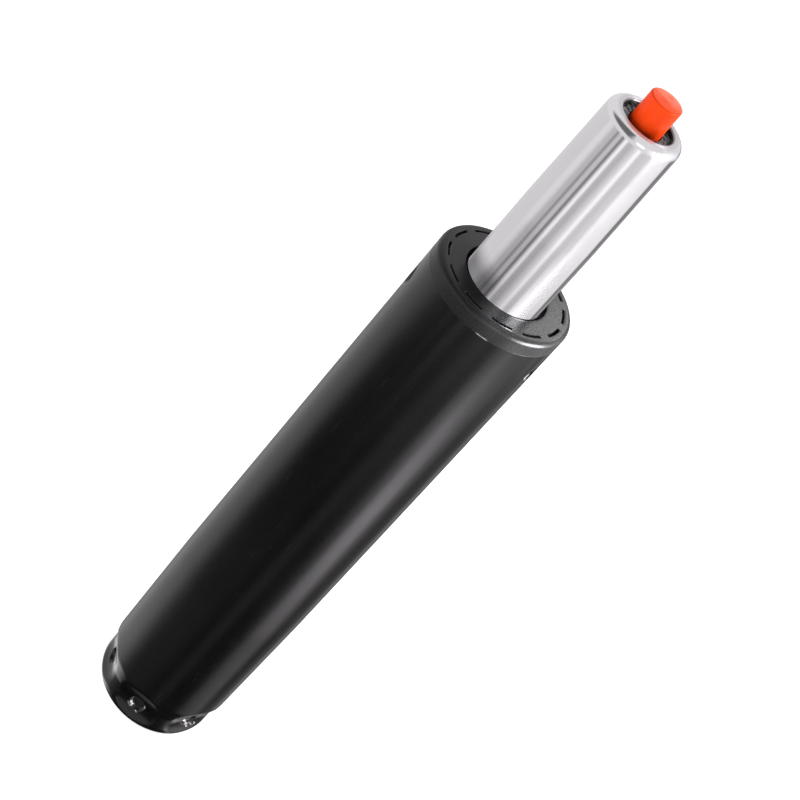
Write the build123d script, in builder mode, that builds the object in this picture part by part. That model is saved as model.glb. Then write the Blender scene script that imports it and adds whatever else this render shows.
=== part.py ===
from build123d import *
import math
import os

# A height-adjusting gas lift for a swivel chair, at its lowest setting, standing on its lower rim.
# Z runs up its axis and the camera side is -Y. Sizes are in millimetres, heights start at the rim.

# Clearances, all on the radius or the height of a gap, and how near an edge is to its level
running_gap = 0.05
seal_gap = 0.02
loose_gap = 0.3
end_play = 0.3
level_gap = 0.01

# Column tube: steel tube with a taper for the chair base and a rolled-in lower rim
column_r = 25.0
column_wall = 2.0
column_length = 231.2
taper_length = 54.0
taper_angle = 0.72
shoulder_length = 6.0
shoulder_step = 1.4
shoulder_round = 8.0
collar_length = 12.5
rim_round = 5.5
rim_lip = 7.4

# Dents pressed into the collar over the base plate, and the punch mark in each
dent_count = 6
dent_angle = 31.0
dent_z = 9.5
dent_depth = 1.8
dent_bar_r = 16.0
punch_r = 2.8
punch_depth = 1.2
punch_rise = 1.0

# Dimples that stake the column tube into the guide sleeve
dimple_angle = -10.0
dimple_spread = 160.0
dimple_drop = 12.2
dimple_r = 5.0
dimple_depth = 2.1
dimple_wall = 1.6

# Guide sleeve: moulded bush with a flange, bore wall and radial ribs
flange_height = 5.5
flange_bevel = 1.3
sleeve_length = 110.0
sleeve_wall = 2.2
sleeve_mouth = 1.3
rib_count = 12
rib_angle = 4.0
rib_width = 2.0
foot_height = 3.0
boss_r = 5.5
slot_inset = 1.4
slot_width = 1.1
slot_arc = 20.0

# Base plate: pressed dish whose raised middle carries the bearing
plate_wall = 3.0
plate_r = 20.2
plate_edge = 2.8
plate_edge_height = 2.0
plate_rise = 7.5
dish_r = 15.0
dish_top_r = 12.6

# Thrust bearing
race_r = 12.0
race_height = 2.2
ball_count = 9
ball_sides = 8
ball_r = 2.38
ball_ring_r = 8.6
groove_depth = 0.7
groove_gap = 0.3
groove_slope = 0.9
cage_height = 1.9
cage_r = 11.6
cage_hole_r = 5.2
pocket_gap = 0.12

# Piston rod with its clip, washer and bumper
rod_r = 5.0
journal_r = 4.0
rod_tail = 2.2
rod_chamfer = 0.6
clip_height = 1.0
clip_r = 6.6
clip_groove = 0.8
clip_arms = 0.85
washer_height = 1.0
washer_r = 8.0
bumper_height = 14.0
bumper_step = 2.6
bumper_waist = 1.6
bumper_waist_height = 4.0
bumper_edge = 1.2

# Piston
stroke = 120.0
piston_height = 14.0
piston_neck_r = 3.5
piston_groove_width = 3.0
piston_groove_depth = 2.2
piston_washer_height = 1.2
piston_washer_step = 2.25
piston_ring_edge = 0.6
rivet_r = 5.0
rivet_height = 2.0

# Pressure tube: plated tube with a cone for the seat mechanism and both ends rolled in
tube_r = 14.0
tube_wall = 1.6
tube_exposed = 71.9
cone_length = 44.0
cone_angle = 0.91
tube_top_round = 3.0
tube_top_lip = 4.3
tube_foot_edge = 1.4
tube_foot_lip = 4.0

# Inner tube and the pieces that close the lower end of the pressure tube
gas_passage = 1.8
liner_wall = 0.8
support_height = 1.5
support_gap = 0.8
guide_height = 12.0
seal_height = 7.0
seal_lip = 1.4

# Valve at the upper end
top_washer_height = 1.5
top_washer_step = 0.9
valve_head_height = 13.5
valve_neck_step = 2.6
valve_neck_height = 8.0
valve_shoulder_height = 2.0
valve_spigot_height = 18.0
valve_well_depth = 8.0
valve_port_r = 1.0
valve_chamber_r = 3.4
valve_chamber_height = 5.0
o_ring_width = 2.4
o_ring_depth = 2.0
o_ring_edge = 0.6
pin_r = 2.5
pin_neck_r = 1.7
pin_neck_height = 8.5
pin_head_r = 3.6
pin_head_height = 3.2
pin_ring_depth = 1.3
pin_ring_width = 2.0
pin_ring_edge = 0.3
pin_ring_drop = 4.0

# Release button
button_r = 5.6
button_proud = 8.7
button_length = 15.3
button_edge = 0.5
button_socket = 9.0
button_travel = 3.5


def tapered(radius, length, angle):
    """Radius at the small end of a cone that starts at this radius."""
    return radius - length * math.tan(math.radians(angle))


def ring_face(height, outer_r, inner_r):
    """A flat ring at this height."""
    with BuildSketch(Plane.XY.offset(height)) as face:
        Circle(outer_r)
        Circle(inner_r, mode=Mode.SUBTRACT)
    return face.sketch


def turned_face(*points):
    """Half a turned piece's section, from a closed outline of radius and height pairs."""
    with BuildSketch(Plane.XZ) as face:
        with BuildLine():
            Polyline(*points, close=True)
        make_face()
    return face.sketch


def wall_face(wall, *points):
    """Half a tube's section: its outer side follows the points from the top down."""
    with BuildSketch(Plane.XZ) as face:
        with BuildLine():
            Polyline(*points)
            offset(amount=wall, side=Side.RIGHT)
        make_face()
    return face.sketch


def circles_at(piece, height):
    """The circular edges of a piece at this height, the smallest first."""
    circles = piece.edges().filter_by(GeomType.CIRCLE)
    low = height - level_gap
    high = height + level_gap
    return circles.filter_by_position(Axis.Z, low, high).sort_by(SortBy.RADIUS)


def pressed_ring_face(bore_r, depth, low, width, edge):
    """Half the section of a rubber ring squeezed into its groove, cut back at its outer edges."""
    high = low + width
    outer_r = bore_r + depth
    return turned_face(
        (bore_r, low), (outer_r - edge, low), (outer_r, low + edge),
        (outer_r, high - edge), (outer_r - edge, high), (bore_r, high),
    )


# Heights of the column, from its rim up
column_bore_r = column_r - column_wall
sleeve_top = column_length + flange_height
sleeve_foot = sleeve_top - sleeve_length
taper_foot_z = collar_length + shoulder_length
taper_top_z = taper_foot_z + taper_length
taper_foot_r = tapered(column_r, taper_length, taper_angle)
collar_r = taper_foot_r - shoulder_step
dimple_z = column_length - dimple_drop

# Heights of the bearing and the rod's lower end
plate_ring_top = column_wall + plate_wall
plate_under = column_wall + plate_rise
plate_top = plate_under + plate_wall
lower_race_top = plate_top + race_height
ball_z = lower_race_top - groove_depth + running_gap + ball_r
upper_race_foot = 2 * ball_z - lower_race_top
upper_race_top = upper_race_foot + race_height
washer_foot = plate_under - end_play - washer_height
clip_foot = washer_foot - clip_height
rod_foot = clip_foot - rod_tail
bumper_top = upper_race_top + bumper_height

# Heights of the pressure tube and what closes its lower end
bumper_r = tube_r - bumper_step
tube_foot = bumper_top + end_play
tube_top = sleeve_top + tube_exposed
tube_top_r = tapered(tube_r, cone_length, cone_angle)
tube_bore_r = tube_r - tube_wall
liner_r = tube_bore_r - gas_passage
support_r = tube_bore_r - support_gap
lower_support_foot = tube_foot + tube_wall
guide_foot = lower_support_foot + support_height
seal_foot = guide_foot + guide_height
upper_support_foot = seal_foot + seal_height
liner_foot = upper_support_foot + support_height
liner_bore_r = liner_r - liner_wall

# Heights of the piston, which meets the liner's foot at full stroke
piston_foot = liner_foot + stroke + end_play
piston_top = piston_foot + piston_height
piston_r = liner_bore_r - running_gap
piston_groove_foot = piston_foot + (piston_height - piston_groove_width) / 2
piston_washer_r = piston_r - piston_washer_step
rivet_foot = piston_top + piston_washer_height

# Heights of the valve, from the tube's top down
top_washer_foot = tube_top - tube_wall - top_washer_height
valve_head_foot = top_washer_foot - valve_head_height
valve_neck_foot = valve_head_foot - valve_neck_height
liner_top = valve_neck_foot - valve_shoulder_height
valve_foot = liner_top - valve_spigot_height
valve_well_foot = top_washer_foot - valve_well_depth
valve_head_rise = top_washer_foot - tube_top + cone_length
valve_head_r = tapered(tube_bore_r, valve_head_rise, cone_angle) - loose_gap
valve_neck_r = liner_r - valve_neck_step
top_washer_r = valve_head_r - top_washer_step
valve_spigot_r = liner_bore_r - seal_gap
valve_bore_r = pin_r + running_gap
chamber_foot = valve_neck_foot + (valve_neck_height - valve_chamber_height) / 2
chamber_top = chamber_foot + valve_chamber_height
head_ring_foot = valve_head_foot + (valve_head_height - valve_well_depth - o_ring_width) / 2
spigot_ring_foot = valve_foot + (valve_spigot_height - o_ring_width) / 2
upper_pin_ring_foot = (chamber_top + valve_well_foot - pin_ring_width) / 2
lower_pin_ring_foot = chamber_foot - pin_ring_drop - pin_ring_width

# Heights of the release button and its pin
button_top = tube_top + button_proud
button_foot = button_top - button_length
pin_top = button_foot + button_socket
pin_head_top = valve_foot - end_play
pin_neck_foot = lower_pin_ring_foot + pin_ring_width + button_travel / 2

os.makedirs("parts", exist_ok=True)

# Column tube
with BuildPart(Plane.XY.offset(dent_z)) as dent_bulges:
    with PolarLocations(collar_r + dent_bar_r - dent_depth, dent_count, start_angle=dent_angle):
        Cylinder(dent_bar_r + column_wall, collar_r, rotation=(90, 0, 0))
    Cylinder(collar_r - column_wall / 2, 4 * collar_length, mode=Mode.INTERSECT)
    with Locations((0, 0, plate_ring_top - dent_z)):
        bottom_up = (Align.CENTER, Align.CENTER, Align.MIN)
        Cylinder(collar_r, taper_foot_z, align=bottom_up, mode=Mode.INTERSECT)

dimple_reach = column_r + dimple_r - dimple_depth
with BuildPart(Plane.XY.offset(dimple_z)) as dimple_bulges:
    with PolarLocations(dimple_reach, 2, dimple_angle, -dimple_spread, endpoint=True):
        Sphere(dimple_r + dimple_wall)
    Cylinder(column_r - column_wall / 2, 4 * dimple_r, mode=Mode.INTERSECT)

with BuildPart() as column_tube:
    column_section = wall_face(
        column_wall,
        (column_r, column_length), (column_r, taper_top_z), (taper_foot_r, taper_foot_z),
        (collar_r, collar_length), (collar_r, 0), (collar_r - rim_lip, 0),
    )
    revolve(column_section, axis=Axis.Z)
    fillet(circles_at(column_tube, taper_foot_z)[-1], shoulder_round)
    fillet(circles_at(column_tube, 0)[-1], rim_round)
    chamfer(circles_at(column_tube, column_wall)[-1], column_wall)
    add(dent_bulges.part)
    add(dimple_bulges.part)
    with Locations(Plane.XY.offset(dent_z)):
        with PolarLocations(collar_r + dent_bar_r - dent_depth, dent_count, start_angle=dent_angle):
            Cylinder(dent_bar_r, 2 * column_r, rotation=(90, 0, 0), mode=Mode.SUBTRACT)
    with Locations(Plane.XY.offset(dent_z + punch_rise)):
        with PolarLocations(collar_r - dent_depth, dent_count, start_angle=dent_angle):
            Cylinder(punch_r, 2 * punch_depth, rotation=(0, 90, 0), mode=Mode.SUBTRACT)
    with Locations(Plane.XY.offset(dimple_z)):
        with PolarLocations(dimple_reach, 2, dimple_angle, -dimple_spread, endpoint=True):
            Sphere(dimple_r, mode=Mode.SUBTRACT)
column_tube.part.label = "column_tube"
export_step(column_tube.part, "parts/column_tube.step")

# Guide sleeve
with BuildSketch(Plane.XY.offset(sleeve_top)) as slot:
    with BuildLine():
        slot_r = column_bore_r - slot_inset
        outer_arc = CenterArc((0, 0), slot_r + slot_width / 2, -slot_arc / 2, slot_arc)
        inner_arc = CenterArc((0, 0), slot_r - slot_width / 2, -slot_arc / 2, slot_arc)
        Line(outer_arc @ 0, inner_arc @ 0)
        Line(outer_arc @ 1, inner_arc @ 1)
    make_face()

sleeve_bore_r = tube_r + running_gap
sleeve_rib_r = column_bore_r - running_gap
rib_low_r = sleeve_bore_r + sleeve_wall / 2
boss_reach = math.sqrt(sleeve_rib_r**2 - boss_r**2)
rib_pitch = 360 / rib_count
with BuildPart() as guide_sleeve:
    sleeve_section = turned_face(
        (sleeve_bore_r, sleeve_foot), (sleeve_rib_r, sleeve_foot),
        (sleeve_rib_r, sleeve_foot + foot_height),
        (sleeve_bore_r + sleeve_wall, sleeve_foot + foot_height),
        (sleeve_bore_r + sleeve_wall, column_length), (column_r, column_length),
        (column_r, sleeve_top - flange_bevel), (column_r - flange_bevel, sleeve_top),
        (sleeve_bore_r + sleeve_mouth, sleeve_top), (sleeve_bore_r, sleeve_top - sleeve_mouth),
    )
    revolve(sleeve_section, axis=Axis.Z)
    with BuildSketch(Plane.XY.offset(sleeve_foot)):
        with PolarLocations((rib_low_r + sleeve_rib_r) / 2, rib_count, start_angle=rib_angle):
            Rectangle(sleeve_rib_r - rib_low_r - seal_gap, rib_width)
    extrude(amount=column_length - sleeve_foot)
    with Locations(Plane.XY.offset(dimple_z)):
        boss_middle_r = (rib_low_r + boss_reach) / 2
        with PolarLocations(boss_middle_r, 2, dimple_angle, -dimple_spread, endpoint=True):
            Cylinder(boss_r, boss_reach - rib_low_r, rotation=(0, 90, 0))
        with PolarLocations(dimple_reach, 2, dimple_angle, -dimple_spread, endpoint=True):
            Sphere(dimple_r + dimple_wall + running_gap, mode=Mode.SUBTRACT)
    with PolarLocations(0, rib_count, start_angle=rib_angle + rib_pitch / 2):
        add(slot.sketch)
    extrude(amount=-flange_height, mode=Mode.SUBTRACT)
guide_sleeve.part.label = "guide_sleeve"
export_step(guide_sleeve.part, "parts/guide_sleeve.step")

# Base plate
with BuildPart() as base_plate:
    plate_section = turned_face(
        (journal_r + running_gap, plate_under), (dish_top_r - plate_wall / 2, plate_under),
        (dish_r, column_wall), (plate_r - plate_edge, column_wall),
        (plate_r, column_wall + plate_edge_height), (plate_r, plate_ring_top),
        (dish_r + plate_wall / 2, plate_ring_top), (dish_top_r, plate_top),
        (journal_r + running_gap, plate_top),
    )
    revolve(plate_section, axis=Axis.Z)
base_plate.part.label = "base_plate"
export_step(base_plate.part, "parts/base_plate.step")

# Thrust bearing: two races, a cage and its balls
groove_half = math.sqrt(ball_r**2 - (ball_r - groove_depth) ** 2) + groove_gap
floor_half = groove_half - groove_slope


def race_face(bore_r, back_z, front_z):
    """Half a race's section, with the balls' groove in its front face."""
    floor_z = front_z + math.copysign(groove_depth, back_z - front_z)
    return turned_face(
        (bore_r, back_z), (race_r, back_z), (race_r, front_z),
        (ball_ring_r + groove_half, front_z), (ball_ring_r + floor_half, floor_z),
        (ball_ring_r - floor_half, floor_z), (ball_ring_r - groove_half, front_z),
        (bore_r, front_z),
    )


with BuildPart() as lower_race:
    revolve(race_face(journal_r + loose_gap, plate_top, lower_race_top), axis=Axis.Z)
lower_race.part.label = "lower_race"
export_step(lower_race.part, "parts/lower_race.step")

with BuildPart() as upper_race:
    revolve(race_face(journal_r + seal_gap, upper_race_top, upper_race_foot), axis=Axis.Z)
upper_race.part.label = "upper_race"
export_step(upper_race.part, "parts/upper_race.step")

with BuildPart() as ball_cage:
    extrude(ring_face(ball_z - cage_height / 2, cage_r, cage_hole_r), amount=cage_height)
    with PolarLocations(ball_ring_r, ball_count):
        with Locations((0, 0, ball_z)):
            Cylinder(ball_r + pocket_gap, 2 * cage_height, mode=Mode.SUBTRACT)
ball_cage.part.label = "ball_cage"
export_step(ball_cage.part, "parts/ball_cage.step")

# Each ball is what three crossed prisms share: flats in place of a sphere, out of sight
with BuildPart() as one_ball:
    Box(2 * ball_r, 2 * ball_r, 2 * ball_r)
    for side in (Plane.XY, Plane.YZ, Plane.ZX):
        with BuildSketch(side):
            RegularPolygon(ball_r, ball_sides, rotation=180 / ball_sides)
        extrude(amount=ball_r, both=True, mode=Mode.INTERSECT)
with BuildPart(Plane.XY.offset(ball_z)) as bearing_balls:
    with PolarLocations(ball_ring_r, ball_count):
        add(one_ball.part)
bearing_balls.part.label = "bearing_balls"
export_step(bearing_balls.part, "parts/bearing_balls.step")

# Piston rod: its stepped tail turns in the base plate, its head is peened over the piston
with BuildPart() as piston_rod:
    rod_section = turned_face(
        (0, rod_foot), (journal_r - rod_chamfer, rod_foot), (journal_r, rod_foot + rod_chamfer),
        (journal_r, clip_foot), (journal_r - clip_groove, clip_foot),
        (journal_r - clip_groove, washer_foot), (journal_r, washer_foot),
        (journal_r, upper_race_top), (rod_r, upper_race_top), (rod_r, piston_foot),
        (piston_neck_r, piston_foot), (piston_neck_r, rivet_foot), (rivet_r, rivet_foot),
        (rivet_r, rivet_foot + rivet_height / 2), (piston_neck_r, rivet_foot + rivet_height),
        (0, rivet_foot + rivet_height),
    )
    revolve(rod_section, axis=Axis.Z)
piston_rod.part.label = "piston_rod"
export_step(piston_rod.part, "parts/piston_rod.step")

with BuildPart() as rod_washer:
    extrude(ring_face(washer_foot, washer_r, journal_r + seal_gap), amount=washer_height)
rod_washer.part.label = "rod_washer"
export_step(rod_washer.part, "parts/rod_washer.step")

# Horseshoe clip in the groove of the rod's tail, open towards +X
clip_bore_r = journal_r - clip_groove + seal_gap
with BuildPart() as retaining_clip:
    with BuildSketch(Plane.XY.offset(clip_foot)):
        Circle(clip_r)
        Circle(clip_bore_r, mode=Mode.SUBTRACT)
        with Locations((clip_r / 2, 0)):
            Rectangle(clip_r, 2 * clip_bore_r * clip_arms, mode=Mode.SUBTRACT)
    extrude(amount=clip_height)
retaining_clip.part.label = "retaining_clip"
export_step(retaining_clip.part, "parts/retaining_clip.step")

# Rubber bumper under the pressure tube
with BuildPart() as rubber_bumper:
    waist_foot = upper_race_top + (bumper_height - bumper_waist_height) / 2
    waist_top = waist_foot + bumper_waist_height
    bumper_section = turned_face(
        (rod_r + seal_gap, upper_race_top), (bumper_r, upper_race_top), (bumper_r, waist_foot),
        (bumper_r - bumper_waist, waist_foot), (bumper_r - bumper_waist, waist_top),
        (bumper_r, waist_top), (bumper_r, bumper_top - bumper_edge),
        (bumper_r - bumper_edge, bumper_top), (rod_r + seal_gap, bumper_top),
    )
    revolve(bumper_section, axis=Axis.Z)
rubber_bumper.part.label = "rubber_bumper"
export_step(rubber_bumper.part, "parts/rubber_bumper.step")

# Piston with its ring and washer
piston_groove_top = piston_groove_foot + piston_groove_width
with BuildPart() as piston:
    piston_section = turned_face(
        (piston_neck_r + seal_gap, piston_foot), (piston_r, piston_foot),
        (piston_r, piston_groove_foot), (piston_r - piston_groove_depth, piston_groove_foot),
        (piston_r - piston_groove_depth, piston_groove_top), (piston_r, piston_groove_top),
        (piston_r, piston_top), (piston_neck_r + seal_gap, piston_top),
    )
    revolve(piston_section, axis=Axis.Z)
piston.part.label = "piston"
export_step(piston.part, "parts/piston.step")

with BuildPart() as piston_ring:
    piston_ring_section = pressed_ring_face(
        piston_r - piston_groove_depth + seal_gap,
        liner_bore_r - piston_r + piston_groove_depth - 2 * seal_gap,
        piston_groove_foot, piston_groove_width, piston_ring_edge,
    )
    revolve(piston_ring_section, axis=Axis.Z)
piston_ring.part.label = "piston_ring"
export_step(piston_ring.part, "parts/piston_ring.step")

with BuildPart() as piston_washer:
    face = ring_face(piston_top, piston_washer_r, piston_neck_r + seal_gap)
    extrude(face, amount=piston_washer_height)
piston_washer.part.label = "piston_washer"
export_step(piston_washer.part, "parts/piston_washer.step")

# Pressure tube
with BuildPart() as pressure_tube:
    tube_section = wall_face(
        tube_wall,
        (tube_top_r - tube_top_lip, tube_top), (tube_top_r, tube_top),
        (tube_r, tube_top - cone_length), (tube_r, tube_foot), (tube_r - tube_foot_lip, tube_foot),
    )
    revolve(tube_section, axis=Axis.Z)
    fillet(circles_at(pressure_tube, tube_top)[-1], tube_top_round)
    chamfer(circles_at(pressure_tube, tube_foot)[-1], tube_foot_edge)
pressure_tube.part.label = "pressure_tube"
export_step(pressure_tube.part, "parts/pressure_tube.step")

with BuildPart() as inner_tube:
    extrude(ring_face(liner_foot, liner_r, liner_bore_r), amount=liner_top - liner_foot)
inner_tube.part.label = "inner_tube"
export_step(inner_tube.part, "parts/inner_tube.step")

# Rod guide and rod seal between their two support washers
with BuildPart() as lower_support:
    extrude(ring_face(lower_support_foot, support_r, rod_r + loose_gap), amount=support_height)
lower_support.part.label = "lower_support_washer"
export_step(lower_support.part, "parts/lower_support_washer.step")

with BuildPart() as rod_guide:
    face = ring_face(guide_foot, tube_bore_r - seal_gap, rod_r + running_gap)
    extrude(face, amount=guide_height)
rod_guide.part.label = "rod_guide"
export_step(rod_guide.part, "parts/rod_guide.step")

with BuildPart() as rod_seal:
    seal_section = turned_face(
        (rod_r + seal_gap, seal_foot), (tube_bore_r - seal_gap, seal_foot),
        (tube_bore_r - seal_gap, upper_support_foot), (rod_r + 2 * seal_lip, upper_support_foot),
        (rod_r + 2 * seal_lip, upper_support_foot - seal_lip),
        (rod_r + seal_lip, upper_support_foot - 2 * seal_lip),
        (rod_r + seal_gap, upper_support_foot - seal_lip),
    )
    revolve(seal_section, axis=Axis.Z)
rod_seal.part.label = "rod_seal"
export_step(rod_seal.part, "parts/rod_seal.step")

with BuildPart() as upper_support:
    extrude(ring_face(upper_support_foot, support_r, rod_r + loose_gap), amount=support_height)
upper_support.part.label = "upper_support_washer"
export_step(upper_support.part, "parts/upper_support_washer.step")

# Valve body: head under the tube's rim, ported neck, and a spigot in the inner tube
head_ring_top = head_ring_foot + o_ring_width
spigot_ring_top = spigot_ring_foot + o_ring_width
head_groove_r = valve_head_r - o_ring_depth
spigot_groove_r = valve_spigot_r - o_ring_depth
pin_ring_r = valve_bore_r + pin_ring_depth
well_r = button_r + loose_gap
with BuildPart() as valve_body:
    valve_section = turned_face(
        (valve_bore_r, valve_foot), (valve_spigot_r, valve_foot),
        (valve_spigot_r, spigot_ring_foot), (spigot_groove_r, spigot_ring_foot),
        (spigot_groove_r, spigot_ring_top), (valve_spigot_r, spigot_ring_top),
        (valve_spigot_r, liner_top), (liner_r, liner_top), (liner_r, valve_neck_foot),
        (valve_neck_r, valve_neck_foot), (valve_neck_r, valve_head_foot),
        (valve_head_r, valve_head_foot), (valve_head_r, head_ring_foot),
        (head_groove_r, head_ring_foot), (head_groove_r, head_ring_top),
        (valve_head_r, head_ring_top), (valve_head_r, top_washer_foot),
        (well_r, top_washer_foot), (well_r, valve_well_foot), (valve_bore_r, valve_well_foot),
        (valve_bore_r, upper_pin_ring_foot + pin_ring_width),
        (pin_ring_r, upper_pin_ring_foot + pin_ring_width),
        (pin_ring_r, upper_pin_ring_foot), (valve_bore_r, upper_pin_ring_foot),
        (valve_bore_r, chamber_top), (valve_chamber_r, chamber_top),
        (valve_chamber_r, chamber_foot), (valve_bore_r, chamber_foot),
        (valve_bore_r, lower_pin_ring_foot + pin_ring_width),
        (pin_ring_r, lower_pin_ring_foot + pin_ring_width),
        (pin_ring_r, lower_pin_ring_foot), (valve_bore_r, lower_pin_ring_foot),
    )
    revolve(valve_section, axis=Axis.Z)
    with Locations((0, 0, (chamber_foot + chamber_top) / 2)):
        Cylinder(valve_port_r, 2 * valve_neck_r, rotation=(0, 90, 0), mode=Mode.SUBTRACT)
valve_body.part.label = "valve_body"
export_step(valve_body.part, "parts/valve_body.step")

# Rings that seal the valve body and its pin
head_wall_r = tapered(tube_bore_r, head_ring_top - tube_top + cone_length, cone_angle)
with BuildPart() as head_o_ring:
    ring_depth = head_wall_r - head_groove_r - 3 * seal_gap
    ring_section = pressed_ring_face(
        head_groove_r + seal_gap, ring_depth, head_ring_foot, o_ring_width, o_ring_edge
    )
    revolve(ring_section, axis=Axis.Z)
head_o_ring.part.label = "head_o_ring"
export_step(head_o_ring.part, "parts/head_o_ring.step")

with BuildPart() as spigot_o_ring:
    ring_depth = liner_bore_r - spigot_groove_r - 2 * seal_gap
    ring_section = pressed_ring_face(
        spigot_groove_r + seal_gap, ring_depth, spigot_ring_foot, o_ring_width, o_ring_edge
    )
    revolve(ring_section, axis=Axis.Z)
spigot_o_ring.part.label = "spigot_o_ring"
export_step(spigot_o_ring.part, "parts/spigot_o_ring.step")

with BuildPart() as pin_o_rings:
    for foot in (lower_pin_ring_foot, upper_pin_ring_foot):
        ring_depth = pin_ring_r - pin_r - 2 * seal_gap
        ring_section = pressed_ring_face(
            pin_r + seal_gap, ring_depth, foot, pin_ring_width, pin_ring_edge
        )
        revolve(ring_section, axis=Axis.Z)
pin_o_rings.part.label = "pin_o_rings"
export_step(pin_o_rings.part, "parts/pin_o_rings.step")

with BuildPart() as top_washer:
    extrude(ring_face(top_washer_foot, top_washer_r, well_r), amount=top_washer_height)
top_washer.part.label = "top_washer"
export_step(top_washer.part, "parts/top_washer.step")

# Valve pin with its neck and stop head, and the release button pushed onto it
with BuildPart() as valve_pin:
    pin_neck_top = pin_neck_foot + pin_neck_height
    pin_section = turned_face(
        (0, pin_head_top - pin_head_height), (pin_head_r, pin_head_top - pin_head_height),
        (pin_head_r, pin_head_top), (pin_r, pin_head_top), (pin_r, pin_neck_foot),
        (pin_neck_r, pin_neck_foot), (pin_neck_r, pin_neck_top), (pin_r, pin_neck_top),
        (pin_r, pin_top), (0, pin_top),
    )
    revolve(pin_section, axis=Axis.Z)
valve_pin.part.label = "valve_pin"
export_step(valve_pin.part, "parts/valve_pin.step")

with BuildPart() as release_button:
    button_section = turned_face(
        (0, pin_top), (pin_r + seal_gap, pin_top), (pin_r + seal_gap, button_foot),
        (button_r, button_foot), (button_r, button_top), (0, button_top),
    )
    revolve(button_section, axis=Axis.Z)
    chamfer(circles_at(release_button, button_top)[-1], button_edge)
release_button.part.label = "release_button"
export_step(release_button.part, "parts/release_button.step")
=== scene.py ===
import bmesh
import bpy
import math
from mathutils import Matrix, Vector


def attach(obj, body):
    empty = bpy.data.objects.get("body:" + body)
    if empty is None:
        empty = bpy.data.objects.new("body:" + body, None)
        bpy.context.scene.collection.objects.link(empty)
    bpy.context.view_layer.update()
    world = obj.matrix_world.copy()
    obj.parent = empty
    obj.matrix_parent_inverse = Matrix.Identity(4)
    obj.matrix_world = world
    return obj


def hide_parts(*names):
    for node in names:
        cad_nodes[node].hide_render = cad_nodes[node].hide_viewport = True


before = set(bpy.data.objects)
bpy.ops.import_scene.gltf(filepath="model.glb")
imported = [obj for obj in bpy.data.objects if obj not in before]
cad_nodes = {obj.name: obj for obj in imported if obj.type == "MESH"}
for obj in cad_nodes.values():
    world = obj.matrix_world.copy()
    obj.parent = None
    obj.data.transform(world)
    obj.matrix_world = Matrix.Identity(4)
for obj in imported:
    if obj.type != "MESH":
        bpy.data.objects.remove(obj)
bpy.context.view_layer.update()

# Camera: a long lens in front of the standing lift and 35 degrees above it. It is rolled, so
# the lift leans across the picture with its button at the upper right.
MM = 0.001
rise = math.radians(35.13)
roll = math.radians(90 - 48.65)
toward = Vector((0, -math.cos(rise), math.sin(rise)))
across = Vector((math.cos(roll), math.sin(roll) * math.sin(rise), math.sin(roll) * math.cos(rise)))
upward = toward.cross(across)
flange_centre = Vector((0, 0, 236.7))
distance = 606.75
eye = flange_centre - 33.28 * across - 36.37 * upward + distance * toward
camera_data = bpy.data.cameras.new("camera")
camera_data.sensor_width = 36
camera_data.lens = 87.9
camera_data.clip_start = 0.01
camera_data.clip_end = 50
camera = bpy.data.objects.new("camera", camera_data)
camera.matrix_world = Matrix.LocRotScale(
    eye * MM, Matrix((across, upward, toward)).transposed().to_quaternion(), None
)
bpy.context.scene.collection.objects.link(camera)
bpy.context.scene.camera = camera
bpy.context.scene.view_settings.view_transform = "Standard"


# Studio: white paper all round, grey card and strip lights for the plating and the paint to
# reflect, and soft lamps. The floor is white to the camera and only takes a faint shadow.
class Wire:
    """A socket. Sums and products of wires add the Math nodes that they need."""

    def __init__(self, tree, socket):
        self.tree = tree
        self.socket = socket

    def math(self, operation, *others):
        """The Math node's result from this wire and the others, in this order."""
        terms = dict(enumerate((self, *others)))
        return self.tree.node("ShaderNodeMath", {"operation": operation}, terms)

    def __add__(self, other):
        return self.math("ADD", other)

    def __sub__(self, other):
        return self.math("SUBTRACT", other)

    def __rsub__(self, other):
        return self.tree.node("ShaderNodeMath", {"operation": "SUBTRACT"}, {0: other, 1: self})

    def __mul__(self, other):
        return self.math("MULTIPLY", other)

    def __truediv__(self, other):
        return self.math("DIVIDE", other)

    __radd__ = __add__
    __rmul__ = __mul__


class Tree:
    """A node tree of a material, of the world or of a rule, and the nodes put into it."""

    def __init__(self, nodes_and_links):
        self.tree = nodes_and_links
        self.tree.nodes.clear()

    def node(self, kind, settings, sockets, out=0):
        """Adds a node and gives the wire of its output, or a list of them for a list of names."""
        made = self.tree.nodes.new(kind)
        for name, value in settings.items():
            setattr(made, name, value)
        for name, value in sockets.items():
            if isinstance(value, Wire):
                self.tree.links.new(value.socket, made.inputs[name])
            else:
                made.inputs[name].default_value = value
        if isinstance(out, (list, tuple)):
            return [Wire(self, made.outputs[name]) for name in out]
        return Wire(self, made.outputs[out]) if len(made.outputs) else None

    def ease(self, value, low, high):
        """Nought below low and one above high, with a soft step between. Low may be the higher."""
        sockets = {"Value": value, "From Min": low, "From Max": high}
        return self.node("ShaderNodeMapRange", {"interpolation_type": "SMOOTHSTEP"}, sockets)

    def blend(self, share, first, second):
        """One colour over another, by a share from nought to one."""
        settings = {"data_type": "RGBA"}
        return self.node("ShaderNodeMix", settings, {0: share, 6: first, 7: second}, out=2)


studio = bpy.data.worlds.new("studio")
studio.use_nodes = True
bpy.context.scene.world = studio
sky = Tree(studio.node_tree)
ray_x, ray_y, ray_z = sky.node(
    "ShaderNodeSeparateXYZ", {},
    {0: sky.node("ShaderNodeTexCoord", {}, {}, out="Generated")}, out=("X", "Y", "Z"),
)
level = (ray_x * ray_x + ray_y * ray_y + 1e-6).math("SQRT")


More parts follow.
